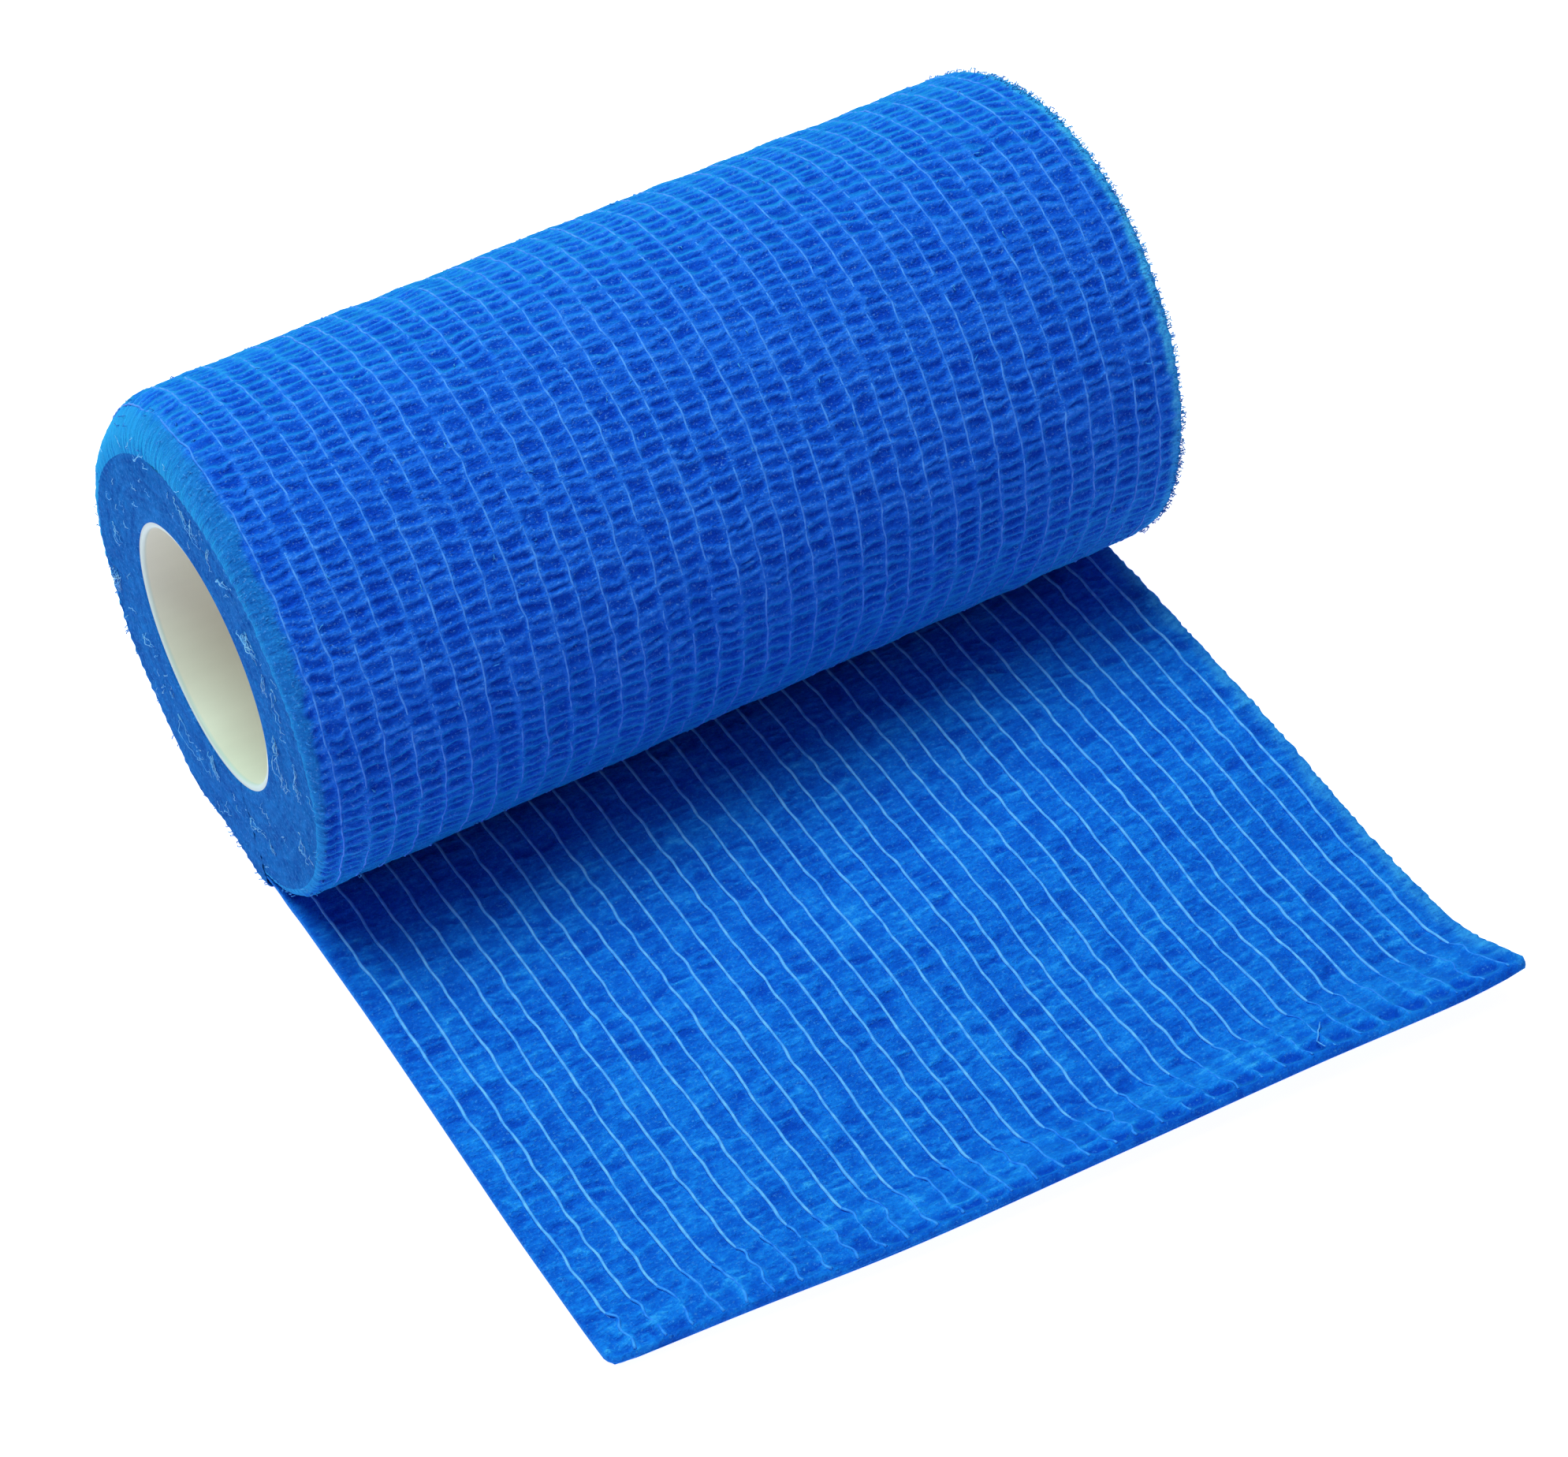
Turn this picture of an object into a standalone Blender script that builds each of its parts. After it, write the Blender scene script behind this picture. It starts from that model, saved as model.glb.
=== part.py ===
"""Cohesive bandage roll: crepe bandage wound on a thin core tube, its free end laid out in front.

X runs along the roll's axis, Y points to the back of the roll and Z up.
The origin is on the resting plane, under the middle of the roll, in its flat spot.
The bandage is one continuous cloth: the wound roll and the laid-out free end are one solid.
Seen from -X the cloth climbs the front of the roll, goes over its top and down its back,
passes under it and leaves towards -Y.
"""

import math
from collections import namedtuple

import bmesh
import bpy
import numpy as np

MM = 0.001

# Cloth
CLOTH_WIDTH = 100.5 * MM
CLOTH_THICKNESS = 1.1 * MM
CLOTH_EDGE_ROUND = 0.3 * MM
CUT_ROUND = 0.4 * MM

# Wound roll
ROLL_RADIUS_LEFT = 26.43 * MM
ROLL_RADIUS_RIGHT = 27.05 * MM
RADIUS_TURN = 0.64
AXIS_DROP = 0.9 * MM
WAVE_FADE = (math.radians(35.0), math.radians(85.0))
BORE_RADIUS = 14.9 * MM
BORE_ROUND = 0.6 * MM
PEEL_ANGLE = math.radians(22.0)

# Core tube
CORE_RADIUS = 14.55 * MM
CORE_WALL = 0.8 * MM
CORE_LIP_ROUND = 0.25 * MM

# Mesh fineness
ROLL_SEGMENTS = 72
RIM_DEPTHS = [0.0, 0.08, 0.25, 0.6, 1.2, 2.3, 3.6]
RIM_END = 5.4 * MM
WIDTH_STEPS = 14
TAIL_STEPS = 24
TAIL_CROWDING = 0.6
CUT_DEPTHS = [0.4, 0.14, 0.0]
CORE_SEGMENTS = 64
CORE_LIP_STEPS = 3

# Course of the free end's upper face, from where it peels off the roll
Course = namedtuple("Course", "forward height")
COURSE = [
    Course(9.7, 1.60),
    Course(13.0, 2.35),
    Course(18.0, 2.80),
    Course(28.0, 2.65),
    Course(40.0, 2.15),
    Course(52.0, 1.60),
    Course(64.0, 1.15),
    Course(95.0, 1.15),
]

# Where the cloth's cut end lies and how far it curls up, across the cloth's width
EndLine = namedtuple("EndLine", "across cut_forward curl_forward curl_rise")
END_LINE = [
    EndLine(-50.0, 79.2, 73.5, 0.5),
    EndLine(-25.0, 82.5, 75.0, 1.9),
    EndLine(0.0, 84.3, 76.5, 3.1),
    EndLine(25.0, 86.0, 77.8, 3.8),
    EndLine(42.0, 87.3, 77.5, 4.2),
    EndLine(50.0, 87.8, 75.5, 5.2),
]

# Low swells where the laid-out cloth lifts off the table
Swell = namedtuple("Swell", "across forward rise spread_across spread_forward")
SWELLS = [
    Swell(4.0, 50.0, 0.9, 24.0, 6.5),
    Swell(-32.0, 75.0, 1.1, 9.0, 6.0),
    Swell(-46.0, 36.0, 0.4, 10.0, 9.0),
    Swell(29.0, 76.0, 1.2, 11.0, 5.5),
    Swell(38.0, 44.0, 0.5, 12.0, 8.0),
    Swell(-18.0, 62.0, 0.4, 10.0, 5.0),
]

# Where the free end's height has settled from the roll's surface to its own course
SETTLE_LENGTH = 6.0

# Sideways drift of the free end's left edge over its length, and the flare of its right corner
DRIFT_LEFT = 0.9 * MM
FLARE_RIGHT = 0.5 * MM
FLARE_FROM = (0.86, 0.8)

# Rounding of the roll's two rims round the turn, with 0 at the bottom and 90 at the front
Rim = namedtuple("Rim", "degrees left right")
RIMS = [
    Rim(0.0, 0.8, 0.7),
    Rim(60.0, 1.0, 0.8),
    Rim(120.0, 1.6, 0.9),
    Rim(180.0, 3.4, 1.2),
    Rim(225.0, 4.8, 2.0),
    Rim(270.0, 2.4, 1.0),
    Rim(315.0, 1.0, 0.8),
    Rim(345.0, 0.5, 0.4),
    Rim(390.0, 0.5, 0.4),
]

# Slight unevenness of the wound surface
Wave = namedtuple("Wave", "around along shift size")
ROLL_WAVES = [
    Wave(2, 0.8, 0.6, 0.14),
    Wave(3, -1.4, 2.1, 0.09),
    Wave(5, 2.1, 4.0, 0.05),
]

CLOTH_COLOUR = "1C74DC"
CORE_COLOUR = "D9DCCF"
CLOTH_ROUGHNESS = 0.9
CORE_ROUGHNESS = 0.55
SMOOTH_ANGLE = math.radians(40.0)


def clear_scene():
    for old in list(bpy.data.objects):
        bpy.data.objects.remove(old, do_unlink=True)


def linear_colour(code):
    channels = [int(code[i:i + 2], 16) / 255.0 for i in (0, 2, 4)]
    return [c / 12.92 if c <= 0.04045 else ((c + 0.055) / 1.055) ** 2.4 for c in channels]


def make_material(name, code, roughness):
    material = bpy.data.materials.new(name)
    material.use_nodes = True
    shader = material.node_tree.nodes["Principled BSDF"]
    shader.inputs["Base Color"].default_value = linear_colour(code) + [1.0]
    shader.inputs["Roughness"].default_value = roughness
    return material


def rounding(distance, radius):
    """How far a rounded edge has dropped at a distance from the end it rounds."""
    inside = np.clip(radius - distance, 0.0, None)
    return radius - np.sqrt(radius ** 2 - inside ** 2)


def smooth_step(value, low, high):
    share = np.clip((value - low) / (high - low), 0.0, 1.0)
    return share * share * (3.0 - 2.0 * share)


def smooth_curve(position, knots, values):
    """Monotone cubic through the knots, so that a course has no bumps of its own."""
    knots = np.asarray(knots, float)
    values = np.asarray(values, float)
    steps = np.diff(knots)
    slopes = np.diff(values) / steps
    tangents = np.zeros(len(knots))
    tangents[0], tangents[-1] = slopes[0], slopes[-1]
    for i in range(1, len(knots) - 1):
        if slopes[i - 1] * slopes[i] > 0:
            tangents[i] = 2.0 * slopes[i - 1] * slopes[i] / (slopes[i - 1] + slopes[i])
    position = np.clip(position, knots[0], knots[-1])
    i = np.clip(np.searchsorted(knots, position) - 1, 0, len(steps) - 1)
    t = (position - knots[i]) / steps[i]
    return (
        values[i] * (1 + 2 * t) * (1 - t) ** 2
        + tangents[i] * steps[i] * t * (1 - t) ** 2
        + values[i + 1] * t * t * (3 - 2 * t)
        + tangents[i + 1] * steps[i] * t * t * (t - 1)
    )


def across_share(x):
    return x / CLOTH_WIDTH + 0.5


def roll_radius(x):
    share = across_share(x)
    return ROLL_RADIUS_LEFT * (1 - share) + ROLL_RADIUS_RIGHT * share


def axis_height(x):
    return roll_radius(x) - AXIS_DROP


def width_stations():
    """Places across the cloth, closer together in the rounded rims."""
    rim = [d * MM for d in RIM_DEPTHS]
    half = CLOTH_WIDTH / 2
    middle = np.linspace(-half + RIM_END, half - RIM_END, WIDTH_STEPS + 1)
    return [-half + d for d in rim] + list(middle) + [half - d for d in reversed(rim)]


def tail_stations(root, cut):
    """Distances in front of the axis, from the peel line to the cut, closer together at both."""
    step = np.arange(1, TAIL_STEPS) / TAIL_STEPS
    share = step - TAIL_CROWDING * np.sin(2 * math.pi * step) / (2 * math.pi)
    return np.concatenate([root + share * (cut - root - CUT_DEPTHS[0]), cut - np.array(CUT_DEPTHS)])


def wound_points(x):
    """Outer line of the wound roll at x: one full turn of the spiral, from the peel line round to it."""
    edge = CLOTH_WIDTH / 2 - abs(x)
    angle = PEEL_ANGLE + np.linspace(0.0, 2 * math.pi, ROLL_SEGMENTS + 1)
    turn = angle / (2 * math.pi)
    from_peel = np.minimum(angle - PEEL_ANGLE, PEEL_ANGLE + 2 * math.pi - angle)
    free = smooth_step(from_peel, *WAVE_FADE)
    radius = roll_radius(x) + CLOTH_THICKNESS * (turn - RADIUS_TURN)
    for wave in ROLL_WAVES:
        phase = wave.around * angle + wave.along * math.pi * x / CLOTH_WIDTH + wave.shift
        radius = radius + wave.size * MM * free * np.sin(phase)
    rims = [r.left if x < 0 else r.right for r in RIMS]
    rim = smooth_curve(np.degrees(angle), [r.degrees for r in RIMS], rims) * MM
    radius = radius - rounding(edge, rim)
    height = np.maximum(axis_height(x) - radius * np.cos(angle), 0.0)
    return np.stack([np.full(len(angle), x), -radius * np.sin(angle), height], 1)


def lifted_height(x, forward):
    """Height of the laid-out cloth's upper face, in millimetres."""
    height = smooth_curve(forward, [c.forward for c in COURSE], [c.height for c in COURSE])
    for swell in SWELLS:
        offset = ((x - swell.across) / swell.spread_across) ** 2
        offset = offset + ((forward - swell.forward) / swell.spread_forward) ** 2
        height = height + swell.rise * np.exp(-0.5 * offset)
    across = [e.across for e in END_LINE]
    start = smooth_curve(x, across, [e.curl_forward for e in END_LINE])
    cut = smooth_curve(x, across, [e.cut_forward for e in END_LINE])
    rise = smooth_curve(x, across, [e.curl_rise for e in END_LINE])
    share = np.clip((forward - start) / (cut - start), 0.0, None)
    return height + rise * share ** 1.35


def tail_points(x, root_top):
    """Upper and lower lines of the laid-out cloth at x, from the peel line to the cut end."""
    across_mm = x / MM
    cut = smooth_curve(across_mm, [e.across for e in END_LINE], [e.cut_forward for e in END_LINE])
    root = -root_top[1] / MM
    forward = tail_stations(root, cut)
    settle = root_top[2] / MM - lifted_height(across_mm, root)
    settle = settle * (1 - smooth_step(forward - root, 0.0, SETTLE_LENGTH))
    line = np.stack([-forward, lifted_height(across_mm, forward) + settle], 1) * MM
    along = np.gradient(np.vstack([root_top[1:], line]), axis=0)[1:]
    normal = np.stack([along[:, 1], -along[:, 0]], 1)
    normal /= np.linalg.norm(normal, axis=1)[:, None]
    sunk = rounding(CLOTH_WIDTH / 2 - abs(x), CLOTH_EDGE_ROUND)
    sunk = np.maximum(sunk, rounding((cut - forward) * MM, CUT_ROUND))[:, None]
    upper = line - normal * sunk
    lower = line - normal * (CLOTH_THICKNESS - sunk)
    lower[:, 1] = np.maximum(lower[:, 1], 0.0)
    share = across_share(x)
    length = (forward - root) / (cut - root)
    flare = smooth_step(length, FLARE_FROM[0], 1.0) * smooth_step(share, FLARE_FROM[1], 1.0)
    place = (x + DRIFT_LEFT * (1 - share) * length + FLARE_RIGHT * flare)[:, None]
    return np.hstack([place, upper]), np.hstack([place, lower])


def ring_points(x, radius, segments, start=0.0):
    angle = start + 2 * math.pi * np.arange(segments) / segments
    height = axis_height(x) - radius * np.cos(angle)
    return np.stack([np.full(segments, x), -radius * np.sin(angle), height], 1)


def add_rows(mesh, rows):
    return [[mesh.verts.new(point) for point in row] for row in rows]


def skin_rows(mesh, rows):
    """Faces between neighbouring closed rows of vertices."""
    for low, high in zip(rows, rows[1:]):
        for i in range(len(low)):
            j = (i + 1) % len(low)
            mesh.faces.new((low[i], low[j], high[j], high[i]))


def finish_object(name, mesh, material):
    bmesh.ops.recalc_face_normals(mesh, faces=mesh.faces)
    if mesh.calc_volume(signed=True) < 0:
        bmesh.ops.reverse_faces(mesh, faces=mesh.faces)
    data = bpy.data.meshes.new(name)
    mesh.to_mesh(data)
    mesh.free()
    data.materials.append(material)
    made = bpy.data.objects.new(name, data)
    bpy.context.scene.collection.objects.link(made)
    data.polygons.foreach_set("use_smooth", [True] * len(data.polygons))
    data.set_sharp_from_angle(angle=SMOOTH_ANGLE)
    return made


def build_bandage():
    mesh = bmesh.new()
    stations = width_stations()
    loops = []
    for x in stations:
        wound = wound_points(x)
        upper, lower = tail_points(x, wound[0])
        loops.append(np.vstack([wound, lower, upper[::-1]]))
    loops = add_rows(mesh, loops)
    skin_rows(mesh, loops)

    rim = len(RIM_DEPTHS)
    bore_at = stations[:rim] + stations[-rim:]
    bore = []
    for x in bore_at:
        radius = BORE_RADIUS + rounding(CLOTH_WIDTH / 2 - abs(x), BORE_ROUND)
        bore.append(ring_points(x, radius, ROLL_SEGMENTS, PEEL_ANGLE))
    bore = add_rows(mesh, bore)
    skin_rows(mesh, bore)

    count = TAIL_STEPS - 1 + len(CUT_DEPTHS)
    for loop, hole in ((loops[0], bore[0]), (loops[-1], bore[-1])):
        for k in range(ROLL_SEGMENTS - 1):
            mesh.faces.new((loop[k], loop[k + 1], hole[k + 1], hole[k]))
        last = ROLL_SEGMENTS
        mesh.faces.new((loop[last - 1], loop[last], loop[0], hole[0], hole[-1]))
        lower = loop[last:last + 1 + count]
        upper = [loop[0]] + loop[last + 1 + count:][::-1]
        for i in range(count):
            mesh.faces.new((upper[i], upper[i + 1], lower[i + 1], lower[i]))
    return finish_object("bandage", mesh, make_material("bandage", CLOTH_COLOUR, CLOTH_ROUGHNESS))


def build_core():
    mesh = bmesh.new()
    half = CLOTH_WIDTH / 2
    inner_radius = CORE_RADIUS - CORE_WALL
    rows = []
    for side in (-1, 1):
        ends = []
        for i in range(CORE_LIP_STEPS + 1):
            turn = 0.5 * math.pi * i / CORE_LIP_STEPS
            back = CORE_LIP_ROUND * (1 - math.cos(turn))
            in_by = CORE_LIP_ROUND * (1 - math.sin(turn))
            ends.append((back, in_by))
        outer = [(side * (half - back), CORE_RADIUS - in_by) for back, in_by in ends]
        inner = [(side * (half - back), inner_radius + in_by) for back, in_by in reversed(ends)]
        lip = inner + outer
        rows += lip if side < 0 else lip[::-1]
    rows = add_rows(mesh, [ring_points(x, r, CORE_SEGMENTS) for x, r in rows])
    skin_rows(mesh, rows)
    skin_rows(mesh, [rows[-1], rows[0]])
    return finish_object("core_tube", mesh, make_material("core_tube", CORE_COLOUR, CORE_ROUGHNESS))


clear_scene()
build_bandage()
build_core()
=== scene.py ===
# Cohesive bandage: blue crepe cloth wound on a pale core tube, its free end laid out in front of the roll
import math

import bmesh
import bpy
import numpy as np
from mathutils import Euler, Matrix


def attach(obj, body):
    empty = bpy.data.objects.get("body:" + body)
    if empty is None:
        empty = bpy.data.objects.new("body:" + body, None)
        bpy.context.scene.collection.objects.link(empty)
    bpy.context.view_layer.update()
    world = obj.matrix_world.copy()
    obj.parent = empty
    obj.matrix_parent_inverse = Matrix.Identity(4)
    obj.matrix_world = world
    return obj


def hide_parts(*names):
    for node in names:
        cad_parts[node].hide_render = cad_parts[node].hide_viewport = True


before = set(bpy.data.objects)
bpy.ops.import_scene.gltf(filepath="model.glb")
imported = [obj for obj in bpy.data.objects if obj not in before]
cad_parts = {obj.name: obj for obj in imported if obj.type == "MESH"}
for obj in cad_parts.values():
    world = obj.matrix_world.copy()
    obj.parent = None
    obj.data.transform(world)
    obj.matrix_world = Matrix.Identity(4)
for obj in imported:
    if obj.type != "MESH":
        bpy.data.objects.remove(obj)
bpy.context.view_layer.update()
scene = bpy.context.scene
mm = 0.001

# The wound roll and the free end, as in the CAD. Lengths are in millimetres, and x runs along the roll
roll = {
    "width": 100.5, "thickness": 1.1, "edgeRound": 0.3,
    "radiusLeft": 26.43, "radiusRight": 27.05, "radiusTurn": 0.64, "axisDrop": 0.9,
    "peel": math.radians(22), "waveFade": (math.radians(35), math.radians(85)),
    "waves": [(2, 0.8, 0.6, 0.14), (3, -1.4, 2.1, 0.09), (5, 2.1, 4.0, 0.05)],  # round, along, shift, size
    "rimAngles": [0, 60, 120, 180, 225, 270, 315, 345, 390],
    "rimLeft": [0.8, 1.0, 1.6, 3.4, 4.8, 2.4, 1.0, 0.5, 0.5],
    "rimRight": [0.7, 0.8, 0.9, 1.2, 2.0, 1.0, 0.8, 0.4, 0.4],
    "boreRadius": 14.35, "boreRound": 0.4,
}
tail = {
    "courseForward": [9.7, 13, 18, 28, 40, 52, 64, 95],
    "courseHeight": [1.60, 2.35, 2.80, 2.65, 2.15, 1.60, 1.15, 1.15],
    "endAcross": [-50, -25, 0, 25, 42, 50],
    "cutForward": [79.2, 82.5, 84.3, 86.0, 87.3, 87.8],
    "curlForward": [73.5, 75.0, 76.5, 77.8, 77.5, 75.5],
    "curlRise": [0.5, 1.9, 3.1, 3.8, 4.2, 5.2], "curlPower": 1.35,
    "swells": [(4, 50, 0.9, 24, 6.5), (-32, 75, 1.1, 9, 6), (-46, 36, 0.4, 10, 9),
               (29, 76, 1.2, 11, 5.5), (38, 44, 0.5, 12, 8), (-18, 62, 0.4, 10, 5)],
    "settle": 6.0, "driftLeft": 0.9, "flareRight": 0.5, "flareFrom": (0.86, 0.8),
    "cutRound": 0.4, "cornerRound": 1.3,
}
# The elastic threads run along the cloth and draw it up, so that its crepe stands in ridges between them
weave = {"firstThread": -47.85, "threadPitch": 2.794, "threads": 35}


def hexColour(code):
    channels = [int(code[i:i + 2], 16) / 255 for i in (1, 3, 5)]
    return [c / 12.92 if c <= 0.04045 else ((c + 0.055) / 1.055) ** 2.4 for c in channels] + [1.0]


def addNode(tree, kind, settings=None, links=None):  # a node in links stands for its first output
    node = tree.nodes.new("ShaderNode" + kind)
    for name, value in (settings or {}).items():
        if isinstance(name, int) or name in node.inputs:
            node.inputs[name].default_value = value
        else:
            setattr(node, name, value)
    for name, source in (links or {}).items():
        tree.links.new(source.outputs[0] if hasattr(source, "outputs") else source, node.inputs[name])
    return node


def setStops(ramp, stops):
    steps = ramp.color_ramp.elements
    steps[0].position, steps[0].color = stops[0][0], hexColour(stops[0][1])
    steps[1].position, steps[1].color = stops[-1][0], hexColour(stops[-1][1])
    for place, code in stops[1:-1]:
        steps.new(place).color = hexColour(code)


def newMaterial(name, settings):
    material = bpy.data.materials.new(name)
    material.use_nodes = True
    tree = material.node_tree
    shader = tree.nodes["Principled BSDF"]
    for socket, value in settings.items():
        shader.inputs[socket].default_value = value
    return material, tree, shader


def smoothStep(value, low, high):
    share = np.clip((value - low) / (high - low), 0, 1)
    return share * share * (3 - 2 * share)


def smoothCurve(place, knots, values):  # monotone cubic through the knots
    knots, values = np.asarray(knots, float), np.asarray(values, float)
    steps = np.diff(knots)
    slopes = np.diff(values) / steps
    tangents = np.zeros(len(knots))
    tangents[0], tangents[-1] = slopes[0], slopes[-1]
    for i in range(1, len(knots) - 1):
        if slopes[i - 1] * slopes[i] > 0:
            tangents[i] = 2 * slopes[i - 1] * slopes[i] / (slopes[i - 1] + slopes[i])
    place = np.clip(place, knots[0], knots[-1])
    i = np.clip(np.searchsorted(knots, place) - 1, 0, len(steps) - 1)
    t = (place - knots[i]) / steps[i]
    return (values[i] * (1 + 2 * t) * (1 - t) ** 2 + tangents[i] * steps[i] * t * (1 - t) ** 2
            + values[i + 1] * t * t * (3 - 2 * t) + tangents[i + 1] * steps[i] * t * t * (t - 1))


def cellRandom(a, b, seed):  # the same value from 0 to 1 for the same cell on each run
    a, b = np.asarray(a).astype(np.int64), np.asarray(b).astype(np.int64)
    n = (a * 73856093 ^ b * 19349663 ^ seed * 83492791) & 0x7FFFFFFF
    n = ((n ^ (n >> 13)) * 1274126177) & 0x7FFFFFFF
    n = ((n ^ (n >> 15)) * 668265263) & 0x7FFFFFFF
    return (n ^ (n >> 16)) / 0x7FFFFFFF


def smoothNoise(a, b, seed):  # from -1 to 1
    cellA, cellB = np.floor(a), np.floor(b)
    shareA, shareB = smoothStep(a - cellA, 0, 1), smoothStep(b - cellB, 0, 1)
    low = cellRandom(cellA, cellB, seed) * (1 - shareA) + cellRandom(cellA + 1, cellB, seed) * shareA
    high = cellRandom(cellA, cellB + 1, seed) * (1 - shareA) + cellRandom(cellA + 1, cellB + 1, seed) * shareA
    return (low * (1 - shareB) + high * shareB) * 2 - 1


def rounding(distance, radius):
    inside = np.clip(radius - distance, 0, None)
    return radius - np.sqrt(radius ** 2 - inside ** 2)


def rollRadius(x):
    share = x / roll["width"] + 0.5
    return roll["radiusLeft"] * (1 - share) + roll["radiusRight"] * share


def axisHeight(x):
    return rollRadius(x) - roll["axisDrop"]


def rimRadius(x, angle):
    degrees = np.degrees(angle)
    left = smoothCurve(degrees, roll["rimAngles"], roll["rimLeft"])
    right = smoothCurve(degrees, roll["rimAngles"], roll["rimRight"])
    return np.where(x < 0, left, right)


def lapRadius(x, angle):
    fromPeel = np.minimum(angle - roll["peel"], roll["peel"] + 2 * math.pi - angle)
    free = smoothStep(fromPeel, *roll["waveFade"])
    radius = rollRadius(x) + roll["thickness"] * (angle / (2 * math.pi) - roll["radiusTurn"])
    for around, along, shift, size in roll["waves"]:
        radius = radius + size * free * np.sin(around * angle + along * math.pi * x / roll["width"] + shift)
    return radius - rounding(roll["width"] / 2 - np.abs(x), rimRadius(x, angle))


def roundRoll(x, angle, radius):
    return np.stack([x + 0 * angle, -radius * np.sin(angle), axisHeight(x) - radius * np.cos(angle)], -1)


def alongCloth(angle):  # how far along the cloth an angle round the roll lies
    return angle * (roll["radiusLeft"] + roll["radiusRight"]) / 2


# How the crepe stands. Ridges are about 1.45 mm apart on the roll's outer face, with pockets between them.
# tone: how light the cloth is, the painted highlight a ridge adds to that and the painted shade a pocket
# takes off
rollCrepe = {
    "ridgePitch": 1.45, "ridgeWidth": 0.27, "ridgeLift": 0.16, "pocketEdge": 0.38, "pocketDepth": 0.22,
    "pocketSharp": (0.02, 0.85), "threadWall": (0.1, 0.62), "join": 0.5, "wobble": 0.17, "wobblePitch": 1.9,
    "arch": 0.34, "lean": 0.22, "slant": 0.5, "ripple": 0.27, "columnShift": 0.7, "jitter": 0.24,
    "ridgeUneven": 0.45, "pocketUneven": 0.5, "patchAcross": 2.7, "patchAlong": 1.6, "patchKeep": 0.72,
    "seed": 100, "tone": (0.42, 0.32, 0.38),
}
# The free end shows the inner face, drawn nearly flat: fine low wrinkles that stop at the threads
tailCrepe = {
    "ridgePitch": 1.15, "ridgeWidth": 0.24, "ridgeLift": 0.08, "pocketEdge": 0.34, "pocketDepth": 0.19,
    "pocketSharp": (0.2, 1.0), "threadWall": (0.1, 0.6), "join": 0.35, "wobble": 0.15, "wobblePitch": 2.0,
    "arch": 0.25, "lean": 0.0, "slant": 0.9, "ripple": 0.40, "columnShift": 1.6, "jitter": 0.3,
    "ridgeUneven": 0.9, "pocketUneven": 1.0, "patchAcross": 2.3, "patchAlong": 1.9, "patchKeep": 0.1,
    "seed": 500, "tone": (0.42, 0.33, 0.42),
}
# Past the ends of the threads the crepe is slack and gathers in deeper wrinkles
bandCrepe = {
    **tailCrepe, "ridgePitch": 1.35, "ridgeWidth": 0.3, "ridgeLift": 0.17, "pocketEdge": 0.40,
    "pocketDepth": 0.28, "pocketSharp": (0.15, 0.9), "join": 0.4, "wobblePitch": 2.5, "arch": 0.35,
    "lean": 0.3, "slant": 1.3, "ripple": 0.45, "columnShift": 1.2, "ridgeUneven": 0.8, "pocketUneven": 0.8,
    "patchAcross": 2.6, "patchAlong": 1.8, "patchKeep": 0.2, "seed": 900,
}


def threadWobble(thread, along, look):
    return look["wobble"] * smoothNoise(thread, along / look["wobblePitch"], look["seed"])


def columnRelief(column, place, along, look):
    # The ridges and pockets of one column of crepe, between two threads
    seed, pitch = look["seed"], look["ridgePitch"]
    inside = np.clip(place, -0.1, 1.1)
    bow = 1.3 * cellRandom(column, 0 * along, seed + 1) - 0.3
    bow = bow + 0.7 * smoothNoise(column * 1.7, along / 3.1, seed + 8)
    tilt = look["lean"] + look["slant"] * smoothNoise(column * 1.31 + 31.3, along / 4, seed + 2)
    bend = look["arch"] * bow * 4 * inside * (1 - inside) + tilt * (inside - 0.5)
    bend = bend + look["ripple"] * smoothNoise(column * 7 + inside * 3.6, along / 1.1, seed + 9)
    shift = look["columnShift"] * smoothNoise(column * 0.83 + 5.1, along / 12, seed + 3)
    count = (along + bend) / pitch + shift
    base = np.floor(count)
    ridge, near, lower = 0 * along, 0 * along, base - 1
    for step in (-1, 0, 1, 2):
        number = base + step
        offset = look["jitter"] * (2 * cellRandom(column, number, seed + 4) - 1)
        gap = (count - number - offset) * pitch
        strength = 1 - look["ridgeUneven"] * cellRandom(column, number, seed + 5)
        ridge = np.maximum(ridge, strength * np.exp(-(gap / look["ridgeWidth"]) ** 2))
        edge = look["pocketEdge"] * np.where(gap > 0, 1.25, 0.8)  # a pocket is steepest under its upper ridge
        near = np.maximum(near, strength ** 0.5 * np.exp(-(gap / edge) ** 2))
        lower = np.where(gap >= 0, number, lower)
    depth = 1 - look["pocketUneven"] * cellRandom(column, lower, seed + 6)
    return ridge, (1 - near) * depth


def crepe(across, along, look):
    # ridge and pocket from 0 to 1 at each place on the cloth
    pitch = weave["threadPitch"]
    place = (across - weave["firstThread"]) / pitch
    place = place - threadWobble(place, along, look) / pitch
    column = np.floor(place)
    inColumn = place - column
    toThread = np.minimum(inColumn, 1 - inColumn) * pitch
    beside = column + np.where(inColumn > 0.5, 1, -1)
    own = np.clip(0.5 + 0.5 * toThread / look["join"], 0, 1)
    ridge, pocket = columnRelief(column, inColumn, along, look)
    ridgeBeside, pocketBeside = columnRelief(beside, place - beside, along, look)
    ridge = ridge * own + ridgeBeside * (1 - own)
    pocket = (pocket * own + pocketBeside * (1 - own)) * smoothStep(toThread, *look["threadWall"])
    pocket = smoothStep(pocket, *look["pocketSharp"])
    patch = smoothNoise(across / look["patchAcross"], along / look["patchAlong"], look["seed"] + 7)
    patch = look["patchKeep"] + (1 - look["patchKeep"]) * smoothStep(patch, -0.8, 0.0)
    return ridge * (0.6 + 0.4 * patch), pocket * patch


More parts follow.
